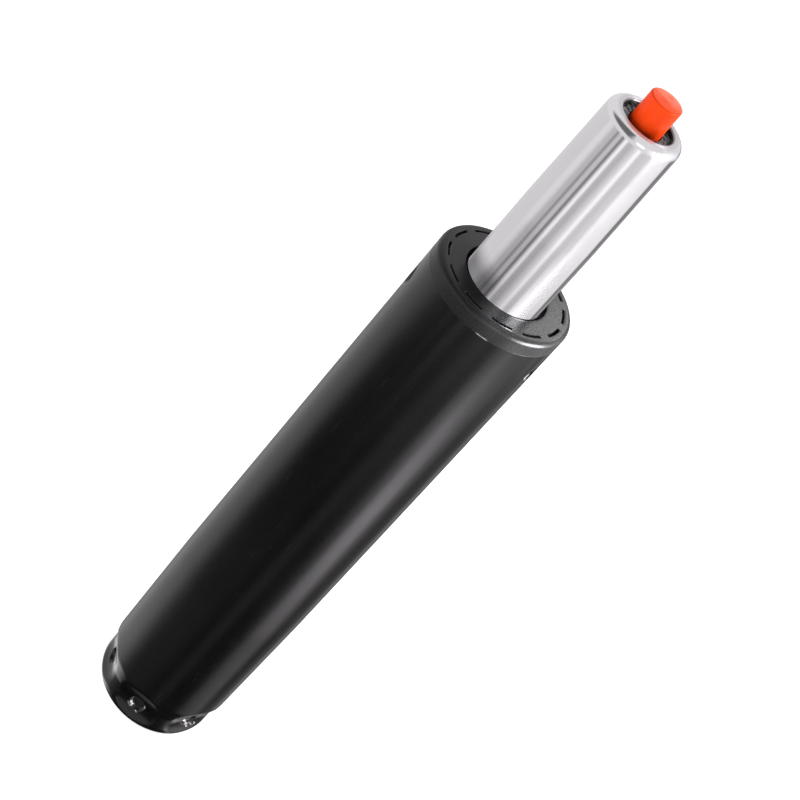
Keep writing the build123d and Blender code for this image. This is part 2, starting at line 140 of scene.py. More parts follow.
def card(bearing, half, soft):
    """One where a ray's bearing, in degrees round the lift, meets a card this wide."""
    centre = math.radians(bearing)
    facing = (ray_x * math.cos(centre) + ray_y * math.sin(centre)) / level
    edge_out = math.cos(math.radians(half + soft))
    edge_in = math.cos(math.radians(max(half - soft, 0)))
    return sky.ease(facing, edge_out, edge_in)


def between(low, high, soft):
    """One where a ray's slope, the sine of its height, lies between two values."""
    return sky.ease(ray_z, low - soft, low + soft) * sky.ease(ray_z, high + soft, high - soft)


# What each part of the lift mirrors. The slope of the mirrored ray tells them apart, because the
# camera looks down on upright walls: the tube, the column below it, its foot, and the edges
# that face up.
paper = 0.76
tube_view = (
    paper
    + 0.12 * card(-163, 8, 5)
    - 0.15 * card(-139, 7, 7)
    - 0.30 * card(-130, 3, 3)
    - 0.08 * card(-120, 3, 3)
    - 0.50 * card(-112, 2.5, 3)
    + 0.42 * card(-100.5, 3, 2.5)
    - 0.16 * card(-87, 5, 5)
    + 0.24 * card(-62, 7, 6)
    + 0.28 * card(-60, 3.5, 3)
    + 0.26 * card(8, 30, 6)
    + 0.06 * card(-14, 6, 5)
    - 0.58 * card(50, 7, 5) * sky.ease(ray_z, -0.28, -0.34)
    - 0.46 * card(74, 13, 5) * sky.ease(ray_z, -0.28, -0.34)
)
column_view = (
    paper
    - 0.735 * card(-104, 64, 18)
    + 0.18 * card(-60, 14, 8)
    - 0.42 * card(-38, 16, 8) * sky.ease(ray_z, -0.60, -0.65)
    - 0.60 * card(37, 17, 8)
    - 0.56 * card(76, 13, 6)
    - 0.36 * card(109, 11, 8)
    + 1.3 * card(-22, 10, 9) * between(-0.60, 0, 0.03)
    + 2.7 * card(-7, 9, 9) * between(-0.648, -0.58, 0.025)
    - 0.34 * card(-4, 30, 12) * between(-0.80, -0.665, 0.02)
    + 0.20 * card(-135, 40, 20) * between(-0.80, -0.67, 0.03)
)
foot_view = (
    0.03
    + 2.2 * card(159, 36, 20) * sky.ease(ray_z, -0.95, -0.87)
    + 0.30 * card(74, 8, 8)
    + 1.1 * card(34, 17, 10) * sky.ease(ray_z, -0.87, -0.83)
)
raised_view = (
    0.86
    - 0.70 * card(-143, 47, 14) * sky.ease(ray_z, 0.32, 0.50)
    + 0.40 * card(5, 38, 20) * between(-0.10, 0.62, 0.14)
    + 19 * card(-3, 14, 12) * between(-0.16, 0.47, 0.06)
    + 2.0 * card(-65, 7, 9) * between(0.38, 0.58, 0.10)
    - 0.50 * card(72, 13, 9) * between(-0.42, -0.04, 0.06)
)
mirror = column_view + (tube_view - column_view) * sky.ease(ray_z, -0.532, -0.52)
mirror = mirror + (foot_view - mirror) * sky.ease(ray_z, -0.745, -0.78)
mirror = mirror + (raised_view - mirror) * sky.ease(ray_z, -0.28, -0.21)
mirror = mirror.math("MAXIMUM", 0.025)
seen_camera, seen_glossy, seen_through = sky.node(
    "ShaderNodeLightPath", {}, {},
    out=("Is Camera Ray", "Is Glossy Ray", "Is Transmission Ray"),
)
walls = 0.28 + 0.72 * between(-0.2, 0.3, 0.12)
strength = walls + (mirror - walls) * seen_glossy
white_seen = seen_camera.math("MAXIMUM", seen_through)
strength = strength + (1 - strength) * white_seen
tinted = sky.blend(white_seen, (1, 0.972, 1, 1), (1, 1, 1, 1))
sheet_white = sky.node("ShaderNodeBackground", {}, {"Color": tinted, "Strength": strength})
sky.node("ShaderNodeOutputWorld", {}, {"Surface": sheet_white})

# Each lamp's place, what it is aimed at and its size in millimetres, and its power in watts.
for name, place, aim, size, power in (
    ("key lamp", (420, 350, 600), (0, 0, 200), 300, 7.5),
    ("front lamp", (60, -700, 260), (0, 0, 170), 500, 3.0),
    ("left lamp", (-620, -160, 240), (0, 0, 140), 500, 1.0),
    ("flange lamp", (40, 112, 311), (10, 0, 237), 60, 0.038),
):
    lamp = bpy.data.lights.new(name, "AREA")
    lamp.shape = "DISK"
    lamp.size = size * MM
    lamp.energy = power
    fitting = bpy.data.objects.new(name, lamp)
    fitting.location = Vector(place) * MM
    fitting.rotation_euler = (Vector(place) - Vector(aim)).to_track_quat("Z", "Y").to_euler()
    fitting.visible_glossy = name == "flange lamp"
    fitting.visible_camera = False
    bpy.context.scene.collection.objects.link(fitting)
lit_flange = bpy.data.collections.new("lit by the flange lamp")
bpy.data.objects["flange lamp"].light_linking.receiver_collection = lit_flange

floor_mesh = bpy.data.meshes.new("floor")
floor_mesh.from_pydata([(-6, -6, 0), (6, -6, 0), (6, 6, 0), (-6, 6, 0)], [], [(0, 1, 2, 3)])
floor = bpy.data.objects.new("floor", floor_mesh)
bpy.context.scene.collection.objects.link(floor)
floor_finish = bpy.data.materials.new("white paper floor")
floor_finish.use_nodes = True
paper_tree = Tree(floor_finish.node_tree)
matt = paper_tree.node("ShaderNodeBsdfDiffuse", {}, {"Color": (0.42, 0.42, 0.42, 1)})
glow = paper_tree.node("ShaderNodeEmission", {}, {"Color": (1, 1, 1, 1), "Strength": 0.86})
to_camera = paper_tree.node("ShaderNodeLightPath", {}, {}, out="Is Camera Ray")
plain = paper_tree.node("ShaderNodeBsdfDiffuse", {}, {"Color": (0.8, 0.8, 0.8, 1)})
both = paper_tree.node("ShaderNodeAddShader", {}, {0: matt, 1: glow})
paper_tree.node(
    "ShaderNodeOutputMaterial", {},
    {"Surface": paper_tree.node("ShaderNodeMixShader", {}, {0: to_camera, 1: plain, 2: both})},
)
floor_mesh.materials.append(floor_finish)
floor.visible_glossy = False
floor.visible_transmission = False


# Column tube: drawn steel tube in satin black paint, which the chair's base holds by its taper.
# Its foot is swaged in and rolled over the base plate, with six dents punched round it, and two
# dimples near the top stake the guide sleeve in place.
def eased(corners, steps=6):
    """A section's outline: each corner is a radius, a height and the rounding that it gets."""
    path = []
    for index, (radius, height, ease) in enumerate(corners):
        if ease == 0:
            path.append((radius, height))
            continue
        before = corners[index - 1]
        after = corners[(index + 1) % len(corners)]
        coming = math.atan2(height - before[1], radius - before[0])
        going = math.atan2(after[1] - height, after[0] - radius)
        bend = (going - coming + math.pi) % (2 * math.pi) - math.pi
        shift = ease * math.tan(abs(bend) / 2)
        lead = 0.2 * min(shift, 1)
        start = (radius - shift * math.cos(coming), height - shift * math.sin(coming))
        path.append((start[0] - lead * math.cos(coming), start[1] - lead * math.sin(coming)))
        side = math.copysign(math.pi / 2, bend)
        middle_x = start[0] + ease * math.cos(coming + side)
        middle_y = start[1] + ease * math.sin(coming + side)
        for step in range(steps + 1):
            heading = coming - side + bend * step / steps
            path.append((middle_x + ease * math.cos(heading), middle_y + ease * math.sin(heading)))
        end = path[-1]
        path.append((end[0] + lead * math.cos(going), end[1] + lead * math.sin(going)))
    return [Vector(point) for point in path]


def closer(path, spacing):
    """The outline with its long runs halved until they are as short as spacing asks there."""
    finer = []
    for index, point in enumerate(path):
        stack = [(point, path[(index + 1) % len(path)])]
        while stack:
            first, last = stack.pop()
            middle = (first + last) / 2
            if (last - first).length > spacing(middle):
                stack += [(middle, last), (first, middle)]
            else:
                finer.append(first)
    return finer


def turned(name, path, sides, shape=None):
    """A smooth piece turned from a closed outline, each point moved by shape if there is one."""
    mesh = bpy.data.meshes.new(name)
    points = []
    rows = []
    for radius, height in path:
        on_axis = radius < 1e-4
        rows.append([len(points)] * sides if on_axis else range(len(points), len(points) + sides))
        for side in range(1 if on_axis else sides):
            turn = 2 * math.pi * side / sides
            place = (radius * math.cos(turn), radius * math.sin(turn), height)
            points.append(Vector(shape(*place) if shape else place) * MM)
    faces = []
    for low, high in zip(rows, rows[1:] + rows[:1]):
        for side in range(sides):
            after = (side + 1) % sides
            corners = [low[side], low[after], high[after], high[side]]
            corners = [c for n, c in enumerate(corners) if c not in corners[:n]]
            if len(corners) > 2:
                faces.append(corners)
    mesh.from_pydata(points, [], faces)
    return placed(name, mesh)


def placed(name, mesh):
    """The finished piece in the scene: joined, faces outward, smooth but for its sharp edges."""
    work = bmesh.new()
    work.from_mesh(mesh)
    bmesh.ops.remove_doubles(work, verts=work.verts, dist=1e-7)
    bmesh.ops.recalc_face_normals(work, faces=work.faces)
    work.to_mesh(mesh)
    work.free()
    mesh.shade_smooth()
    mesh.set_sharp_from_angle(angle=math.radians(40))
    piece = bpy.data.objects.new(name, mesh)
    bpy.context.scene.collection.objects.link(piece)
    return piece


def soft_least(first, second, soft):
    """The lesser of two values, eased where they are within soft of each other."""
    share = max(soft - abs(first - second), 0) / soft
    return min(first, second) - share * share * soft / 4


def smooth(value):
    """Nought to nought and one to one, level at both ends and beyond them."""
    share = min(max(value, 0), 1)
    return share * share * (3 - 2 * share)


def seen_along(angle, x, y):
    """A point of the wall as out from the axis toward an angle, and to the side of it."""
    out = x * math.cos(angle) + y * math.sin(angle)
    return out, y * math.cos(angle) - x * math.sin(angle)


# The press tools: a bar across each dent with a round punch in it, and a ball for each dimple.
dent_angles = [math.radians(31 + 60 * turn) for turn in range(6)]
bar_out, bar_height = 37.12, 9.5
punch_height, punch_flat, punch_edge = 10.5, 2.6, 3.3
dimple_angles = [math.radians(-10), math.radians(-170)]
ball_out, dimple_height = 27.9, 219
far_wall = 15  # what lies nearer the axis than this, or behind it, is left alone


def dented(out, side, z, bar, punch_foot, foot_z):
    """How far out the bar, lying across the foot, and the round punch in it leave a point."""
    moved = soft_least(out, bar_out - math.sqrt(bar * bar - (z - bar_height) ** 2), 0.7)
    reach = math.hypot(side, z - punch_height)
    if punch_foot and reach < punch_edge:
        foot_out = punch_foot + 0.05 * (punch_flat - min(reach, punch_flat))
        moved += (foot_out - moved) * smooth((punch_edge - reach) / 0.75)
    return out + (moved - out) * smooth((z - foot_z) / 1.4)


def pressed(x, y, z, bar, punch_foot, ball, foot_z):
    """Moves a point of the tube's wall to where the press tools leave it."""
    for angle in dent_angles if z < 21 else ():
        out, side = seen_along(angle, x, y)
        if out >= far_wall and abs(side) <= 11:
            moved = dented(out, side, z, bar, punch_foot, foot_z)
            x += (moved - out) * math.cos(angle)
            y += (moved - out) * math.sin(angle)
    for angle in dimple_angles if 210 < z < 228 else ():
        out, side = seen_along(angle, x, y)
        reach = math.hypot(side, z - dimple_height)
        if out >= far_wall and reach < ball:
            moved = soft_least(out, ball_out - math.sqrt(ball * ball - reach * reach), 0.35)
            x += (moved - out) * math.cos(angle)
            y += (moved - out) * math.sin(angle)
    return x, y, z


def tube_wall(x, y, z):
    """Presses a point as outer or as inner wall, by its side of the steel's middle."""
    middle = 21.9 if z < 12.5 else min(21.9 + (z - 12.5) * 0.2333, 23.3 + (z - 18.5) * 0.01259, 24)
    if math.hypot(x, y) > middle:
        return pressed(x, y, z, bar=16, punch_foot=19.92, ball=5, foot_z=-10)
    return pressed(x, y, z, bar=18, punch_foot=None, ball=6.6, foot_z=5.1)


def tube_spacing(point):
    """Rows close together round the dents and the dimples, and long ones between them."""
    away = min(abs(point.y - 10) - 9, abs(point.y - dimple_height) - 5.5)
    return min(max(away, 0.34 if point.x > 21.5 else 0.6), 30)


column_outline = eased([
    (23, 231.2, 0.3), (25, 231.2, 0.25), (25, 72.5, 480), (24.32, 18.5, 8), (22.92, 12.5, 5),
    (22.92, 0, 5.5), (15.52, 0, 0.3), (15.52, 2, 0.3), (20.92, 2, 2), (20.92, 12.5, 3),
    (22.32, 18.5, 6), (23, 72.5, 0),
], steps=8)
column_tube = turned("column_tube_painted", closer(column_outline, tube_spacing), 480, tube_wall)


def apart(wide, high):
    """The length of a line that runs this far two ways at right angles."""
    return (wide * wide + high * high).math("SQRT")


class Finish(Tree):
    """One material. Sizes in its patterns are millimetres on the piece."""

    def __init__(self, name):
        self.material = bpy.data.materials.new(name)
        self.material.use_nodes = True
        super().__init__(self.material.node_tree)
        place = self.node("ShaderNodeTexCoord", {}, {}, out="Object")
        scaled = self.node(
            "ShaderNodeVectorMath", {"operation": "SCALE"}, {0: place, "Scale": 1 / MM}
        )
        self.x, self.y, self.z = self.node(
            "ShaderNodeSeparateXYZ", {}, {0: scaled}, out=("X", "Y", "Z")
        )

    def noise(self, x, y, z, detail):
        """Cloudy noise at a place that is counted in grains."""
        place = self.node("ShaderNodeCombineXYZ", {}, {0: x, 1: y, 2: z})
        return self.node("ShaderNodeTexNoise", {}, {"Vector": place, "Scale": 1, "Detail": detail})

    def grain(self, x, y, z, detail=2):
        """Cloudy noise whose grains measure x, y and z."""
        return self.noise(self.x / x, self.y / y, self.z / z, detail)

    def rings(self, pitch, detail=2):
        """Fine turned marks that run round the axis."""
        return self.noise(apart(self.x, self.y) / pitch, 0, self.z / pitch, detail)

    def tint(self, share, dark, light):
        """A colour between two, by a share from nought to one."""
        return self.blend(share, (*dark, 1), (*light, 1))

    def bump(self, height, depth, normal=None):
        """A relief this deep, on top of another one if that is given."""
        sockets = {"Height": height, "Distance": depth * MM, "Strength": 1}
        if normal:
            sockets["Normal"] = normal
        return self.node("ShaderNodeBump", {}, sockets)

    def coat(self, piece, colour, roughness, normal, **others):
        """Puts the shader together and paints the piece, or pieces, with it."""
        sockets = {"Base Color": colour, "Roughness": roughness, "Normal": normal}
        sockets.update({name.replace("_", " "): value for name, value in others.items()})
        shader = self.node("ShaderNodeBsdfPrincipled", {}, sockets)
        self.node("ShaderNodeOutputMaterial", {}, {"Surface": shader})
        for one in piece if isinstance(piece, (list, tuple)) else [piece]:
            if one.material_slots:
                one.material_slots[0].material = self.material
            else:
                one.data.materials.append(self.material)


paint = Finish("satin_black_paint")
bearing_angle = paint.y.math("ARCTAN2", paint.x)
dented_radius = 21.2
fold = 3 * (bearing_angle - dent_angles[0])
across_dent = (fold.math("SINE") * 0.9999).math("ARCSINE") / 3 * dented_radius


def stroke(bearing, first, last, width):
    """One along a tool mark on the foot, between two places across and up from a bearing."""
    wide = (bearing_angle - math.radians(bearing)) * dented_radius - (first[0] + last[0]) / 2
    high = paint.z - (first[1] + last[1]) / 2
    run = math.hypot(last[0] - first[0], last[1] - first[1])
    along_x = (last[0] - first[0]) / run
    along_z = (last[1] - first[1]) / run
    along = wide * along_x + high * along_z
    beyond = (along.math("ABSOLUTE") - run / 2).math("MAXIMUM", 0)
    beside = high * along_x - wide * along_z
    return paint.ease(apart(beyond, beside), width, width * 0.3)


# Bare steel: where a tool slipped on the foot, where the top edge is rubbed, and the face that
# the column stands on. The punch marks are painted near black, as painted shade in their recess.
tool_marks = [
    (-89, (-3.2, 8.3), (-1.9, 7.4), 0.5), (-89, (-1.9, 7.4), (-1.0, 8.2), 0.4),
    (-89, (1.0, 7.2), (1.6, 7.0), 0.4), (-29, (-0.9, 10.0), (1.7, 5.8), 0.8),
    (-29, (2.6, 7.4), (3.7, 6.2), 0.6), (-29, (4.4, 7.6), (5.1, 6.4), 0.6),
    (31, (-1.0, 9.0), (0.8, 7.0), 0.8), (91, (-2.0, 8.0), (-0.6, 7.2), 0.7),
    (151, (0.4, 8.8), (1.8, 7.4), 0.7),
]
slipped = 0
for mark in tool_marks:
    slipped = stroke(*mark).math("MAXIMUM", slipped)
speckle = paint.grain(0.4, 0.4, 0.7, detail=3)
patches = paint.grain(2.4, 2.4, 2.4, detail=3)
chips = paint.ease(slipped * 0.32 + speckle, 0.72, 0.77) * paint.ease(slipped, 0, 0.2)
rubbed_edge = paint.ease(paint.z, 230.75, 231.0) * stroke(-79, (-0.7, 231.1), (1.0, 231.1), 1.3)
stood_on = paint.ease(paint.z, 0.35, 0.05) * paint.ease(patches + speckle * 0.3, 0.66, 0.72)
bare = chips.math("MAXIMUM", stood_on).math("MAXIMUM", rubbed_edge * 0.7)
pit_shade = paint.ease(apart(across_dent, paint.z - punch_height), 3.0, 2.5)

# The paint: orange peel with cloudy thickness, lint caught in it, long scuffs and small nicks.
peel = paint.grain(0.75, 0.75, 0.95, detail=1)
fine = paint.grain(0.12, 0.12, 0.12, detail=1)
cloud = paint.grain(9, 9, 26, detail=4)
lint = paint.ease(paint.grain(0.42, 0.42, 0.42, detail=0), 0.79, 0.82)
scuff = paint.ease(paint.grain(0.35, 0.35, 9, detail=2) + cloud * 0.15, 0.76, 0.82)
nicks = paint.ease(paint.grain(1.6, 1.6, 0.5, detail=3), 0.78, 0.81)
black = paint.tint(cloud, (0.0013, 0.0011, 0.0014), (0.0029, 0.0026, 0.0030))
black = paint.blend(lint * 0.08, black, (0.05, 0.05, 0.05, 1))
black = paint.blend(scuff * 0.10, black, (0.03, 0.03, 0.031, 1))
# Painted shade: the punch pits are darkened to near black.
black = paint.blend(pit_shade, black, (0.001, 0.001, 0.001, 1))
black = paint.blend(bare, black, (0.56, 0.55, 0.53, 1))
gloss = 0.17 + 0.07 * cloud + 0.07 * scuff + 0.04 * lint + 0.30 * pit_shade
gloss = gloss + (0.32 - gloss) * bare + 0.25 * paint.ease(paint.z, 230.8, 231.0)

# Painted shade in two places, both painted near black: the wall inside the column, and the far rim
# of the right dimple.
inside = paint.ease(apart(paint.x, paint.y), 23.4, 23.2) * paint.ease(paint.z, 190, 210)
gloss = gloss + 0.7 * inside
past_dimple = (bearing_angle - dimple_angles[0]) * 25
staked = apart(past_dimple, paint.z - dimple_height)
shaded_rim = paint.ease(staked, 3.3, 3.5) * paint.ease(staked, 4.7, 4.4)
shaded_rim = shaded_rim * paint.ease(past_dimple, 1.8, 2.4)
unlit = inside.math("MAXIMUM", shaded_rim)
# Painted shade: the inside wall and the dimple's far rim are darkened.
black = paint.blend(unlit, black, (0.0015, 0.0015, 0.0015, 1))
relief = paint.bump(peel, 0.010)
relief = paint.bump(fine, 0.0012, relief)
relief = paint.bump(1 - bare, 0.05, relief)
relief = paint.bump(1 - nicks, 0.008, relief)
metal = bare.math("MAXIMUM", unlit)
paint.coat(column_tube, black, gloss, relief, Metallic=metal, Specular_IOR_Level=0.5)
column_tube.visible_glossy = False
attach(column_tube, "column")
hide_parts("column_tube")


# Guide sleeve: a black moulded bush pushed into the column tube. Twelve ribs hold its bore wall,
# and its flange, with twelve arc slots, closes the tube's top edge. Staked by the two dimples.
sleeve_radii = [14.05, 14.15, 14.43, 14.85, 15.35, 16.25, 18.6, 21.05, 22.15, 22.7,
                23.2, 23.7, 24.15, 24.5, 24.77, 24.94, 25]
sector_turns = [0, "rib", 4.4, *range(5, 26), 25.6, "rib end", 30]
sleeve_floors = [126.7, 129.7, 231.2]
slot_turns = range(sector_turns.index(5), sector_turns.index(25))


def flange_top(radius):
    """Height of the flange's top, which falls away round its rim and at its mouth."""
    rounding, over = (1.8, radius - 23.2) if radius > 20 else (1.3, 15.35 - radius)
    return 236.7 - rounding + math.sqrt(max(rounding ** 2 - max(over, 0) ** 2, 0))


def sector_corner(ring, turn, floor_number):
    """Where a corner of the sector's grid lies. A rib's sides are 1 mm from its middle."""
    radius = sleeve_radii[ring]
    rib = math.degrees(math.asin(1 / radius))
    angle = {"rib": rib, "rib end": 30 - rib}.get(sector_turns[turn], sector_turns[turn])
    height = [*sleeve_floors, flange_top(radius)][floor_number]
    angle = math.radians(angle)
    return Vector((radius * math.cos(angle), radius * math.sin(angle), height)) * MM


def sector_filled(ring, turn, layer):
    """Whether the sleeve is solid between these rings, turns and heights."""
    if not (0 <= ring < len(sleeve_radii) - 1 and 0 <= layer < 3):
        return False
    radius = sleeve_radii[ring]
    if layer == 2:
        return not (radius == 21.05 and turn in slot_turns)
    if layer == 1:
        in_rib = turn in (0, len(sector_turns) - 2)
        return radius < 16 or (in_rib and radius < 22.5)
    return radius < 22.5


# One twelfth of the sleeve: the walls between the filled and the empty cells of a grid.
sector = bmesh.new()
corner_of = {}
turn_count = len(sector_turns) - 1
for ring in range(len(sleeve_radii) - 1):
    for turn in range(turn_count):
        for layer in range(3):
            if not sector_filled(ring, turn, layer):
                continue
            for axis, step in ((0, -1), (0, 1), (1, -1), (1, 1), (2, -1), (2, 1)):
                beside = [ring, turn, layer]
                beside[axis] += step
                if axis == 1 and not 0 <= beside[1] < turn_count:
                    continue
                if sector_filled(*beside):
                    continue
                wall = []
                for first, second in ((0, 0), (1, 0), (1, 1), (0, 1)):
                    spot = [ring, turn, layer]
                    spot[axis] += step > 0
                    spot[(axis + 1) % 3] += first
                    spot[(axis + 2) % 3] += second
                    spot = tuple(spot)
                    if spot not in corner_of:
                        corner_of[spot] = sector.verts.new(sector_corner(*spot))
                    wall.append(corner_of[spot])
                sector.faces.new(wall)
sector_mesh = bpy.data.meshes.new("sleeve_sector")
sector.to_mesh(sector_mesh)
sector.free()
guide_sleeve = bpy.data.objects.new("guide_sleeve_moulded", sector_mesh)
bpy.context.scene.collection.objects.link(guide_sleeve)

# Grained black plastic with rubbed spots. The slots and the mouth are painted near black and matt,
# as painted shade, and the rim is smoother toward the front and right.
plastic = Finish("moulded_black_plastic")
out = apart(plastic.x, plastic.y)
below = plastic.ease(plastic.z, 236.5, 236.2)
recess_shade = plastic.ease(out, 20.85, 21.0) * plastic.ease(out, 22.35, 22.2) * below
recess_shade = recess_shade.math("MAXIMUM", plastic.ease(out, 15.5, 15.2))
peppered = plastic.grain(0.14, 0.14, 0.14, detail=2)
leather = plastic.grain(0.45, 0.45, 0.45, detail=3)
flow = plastic.grain(7, 7, 5, detail=3)
rubbed = plastic.ease(plastic.grain(0.8, 0.8, 0.3, detail=3) + flow * 0.1, 0.70, 0.78)
grey = plastic.tint(peppered, (0.006, 0.006, 0.0063), (0.020, 0.020, 0.0207))
grey = plastic.blend(flow * 0.35, grey, (0.008, 0.008, 0.0085, 1))
grey = plastic.blend(rubbed * 0.3, grey, (0.07, 0.07, 0.07, 1))
# Painted shade: the slots and the mouth are darkened.
grey = plastic.blend(recess_shade, grey, (0.002, 0.002, 0.002, 1))
sheen = 0.20 + 0.16 * plastic.ease(leather, 0.35, 0.65) - 0.04 * rubbed + 0.75 * recess_shade
rim = plastic.ease(out, 23.3, 23.9)
polished = rim * plastic.ease(plastic.x, -4, 8) * plastic.ease(plastic.y, 4, -8)
sheen = sheen + 0.22 * rim * plastic.ease(plastic.y, -4, 2)
grained = plastic.bump(peppered, 0.010)
grained = plastic.bump(leather, 0.024, grained)


class Rule(Tree):
    """A geometry node tree with named inputs, run once on a piece and then made its mesh."""

    def __init__(self, name, **inputs):
        self.group = bpy.data.node_groups.new(name, "GeometryNodeTree")
        super().__init__(self.group)
        kinds = {int: "NodeSocketInt", float: "NodeSocketFloat"}
        self.values = {}
        mesh_socket = {"name": "Geometry", "socket_type": "NodeSocketGeometry"}
        self.group.interface.new_socket(**mesh_socket, in_out="INPUT")
        for label, value in inputs.items():
            kind = kinds.get(type(value), "NodeSocketMaterial")
            entry = self.group.interface.new_socket(label, in_out="INPUT", socket_type=kind)
            self.values[entry.identifier] = value
        self.group.interface.new_socket(**mesh_socket, in_out="OUTPUT")
        names = ["Geometry", *inputs]
        self.given = dict(zip(names, self.node("NodeGroupInput", {}, {}, out=names)))

    def run(self, piece, geometry):
        """Ends the tree with real mesh in its material and puts the result into the piece."""
        real = self.node("GeometryNodeRealizeInstances", {}, {"Geometry": geometry})
        real = self.node("GeometryNodeMergeByDistance", {}, {"Geometry": real, "Distance": 2e-6})
        done = self.node(
            "GeometryNodeSetMaterial", {}, {"Geometry": real, "Material": self.given["Finish"]}
        )
        self.node("NodeGroupOutput", {}, {"Geometry": done})
        step = piece.modifiers.new("rule", "NODES")
        step.node_group = self.group
        for identifier, value in self.values.items():
            step[identifier] = value
        settle(piece)


def settle(piece):
    """Makes what the modifiers show the piece's own mesh, and removes them."""
    view = bpy.context.evaluated_depsgraph_get()
    shown = bpy.data.meshes.new_from_object(piece.evaluated_get(view))
    piece.modifiers.clear()
    piece.data = shown


round_sleeve = Rule(
    "sleeve sectors", Count=12, First_turn=math.radians(4), Finish=plastic.material
)
given = round_sleeve.given
turn_by = (
    round_sleeve.node("GeometryNodeInputIndex", {}, {}) * (2 * math.pi) / given["Count"]
    + given["First_turn"]
)
spots = round_sleeve.node("GeometryNodePoints", {}, {"Count": given["Count"]})
sectors = round_sleeve.node("GeometryNodeInstanceOnPoints", {}, {
    "Points": spots, "Instance": given["Geometry"],
    "Rotation": round_sleeve.node("ShaderNodeCombineXYZ", {}, {"Z": turn_by}),
})
round_sleeve.run(guide_sleeve, sectors)
work = bmesh.new()
work.from_mesh(guide_sleeve.data)
bmesh.ops.recalc_face_normals(work, faces=work.faces)
work.to_mesh(guide_sleeve.data)
work.free()
edge_break = guide_sleeve.modifiers.new("moulded edges", "BEVEL")
edge_break.width = 0.16 * MM
edge_break.segments = 2
edge_break.limit_method = "ANGLE"
edge_break.angle_limit = math.radians(42)
settle(guide_sleeve)
guide_sleeve.data.shade_smooth()
guide_sleeve.data.set_sharp_from_angle(angle=math.radians(34))
flat_faces = guide_sleeve.modifiers.new("flat faces", "WEIGHTED_NORMAL")
flat_faces.weight = 100
flat_faces.keep_sharp = True
settle(guide_sleeve)
plastic.coat(
    guide_sleeve, grey, sheen, grained, Metallic=recess_shade, Specular_IOR_Level=0.25,
    Coat_Weight=polished, Coat_Roughness=0.3,
)
guide_sleeve.visible_glossy = False
lit_flange.objects.link(guide_sleeve)
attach(guide_sleeve, "column")
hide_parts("guide_sleeve")


# Base plate: a pressed and zinc-plated dish that rests on the tube's rolled-in rim, held down by
# the six dents. Its raised middle carries the bearing, and the rod's tail turns in its hole.
base_plate = turned("base_plate_pressed", eased([
    (4.05, 9.5, 0.3), (11.1, 9.5, 1.6), (15, 2, 1.3), (17.4, 2, 0.6), (20.2, 4, 0.5),
    (20.2, 5, 0.3), (16.5, 5, 1.3), (12.6, 12.5, 1.7), (4.05, 12.5, 0.3),
]), 192)
zinc = Finish("zinc_plate")
spangle = zinc.grain(1.3, 1.3, 1.3, detail=3)
stain = zinc.grain(6, 6, 6, detail=3)
pressed_rings = zinc.rings(0.35)
zinc_colour = zinc.tint(spangle, (0.50, 0.51, 0.51), (0.66, 0.66, 0.64))
zinc_colour = zinc.blend(zinc.ease(stain, 0.55, 0.75) * 0.5, zinc_colour, (0.42, 0.40, 0.34, 1))
zinc.coat(
    base_plate, zinc_colour, 0.34 + 0.16 * spangle,
    zinc.bump(pressed_rings, 0.002, zinc.bump(spangle, 0.004)), Metallic=1,
)
base_plate.visible_glossy = False
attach(base_plate, "column")
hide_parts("base_plate")


# Thrust bearing: two hardened races with a groove for nine steel balls in a moulded cage. The
# lower race lies on the base plate, the upper one is pressed on the rod.
balls = bpy.data.objects.new("bearing_balls_round", bpy.data.meshes.new("balls"))
bpy.context.scene.collection.objects.link(balls)
steel = Finish("bearing_steel")
ball_ring = Rule(
    "ball ring", Count=9, Ring_radius=8.6 * MM, Ball_radius=2.38 * MM, Height=16.43 * MM,
    Finish=steel.material,
)
given = ball_ring.given
ring_points = ball_ring.node("GeometryNodeMeshCircle", {}, {
    "Vertices": given["Count"], "Radius": given["Ring_radius"],
})
ring_points = ball_ring.node("GeometryNodeTransform", {}, {
    "Geometry": ring_points,
    "Translation": ball_ring.node("ShaderNodeCombineXYZ", {}, {"Z": given["Height"]}),
})
one_ball = ball_ring.node("GeometryNodeMeshIcoSphere", {}, {
    "Radius": given["Ball_radius"], "Subdivisions": 5,
})
ball_ring.run(balls, ball_ring.node("GeometryNodeInstanceOnPoints", {}, {
    "Points": ring_points, "Instance": one_ball,
}))
balls.data.shade_smooth()
races = [cad_nodes["lower_race"], cad_nodes["upper_race"]]
ground = steel.rings(0.12)
steel.coat(
    [balls, *races], steel.tint(ground, (0.50, 0.50, 0.51), (0.64, 0.64, 0.65)),
    0.16 + 0.12 * ground, steel.bump(ground, 0.0006), Metallic=1,
)
for piece in (balls, *races):
    piece.visible_glossy = False
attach(balls, "ball_cage")
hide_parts("bearing_balls")
nylon = Finish("natural_nylon")
cloudy = nylon.grain(1.5, 1.5, 1.5, detail=3)
nylon.coat(
    cad_nodes["ball_cage"], nylon.tint(cloudy, (0.66, 0.62, 0.53), (0.78, 0.75, 0.67)),
    0.38 + 0.12 * cloudy, nylon.bump(cloudy, 0.006),
)


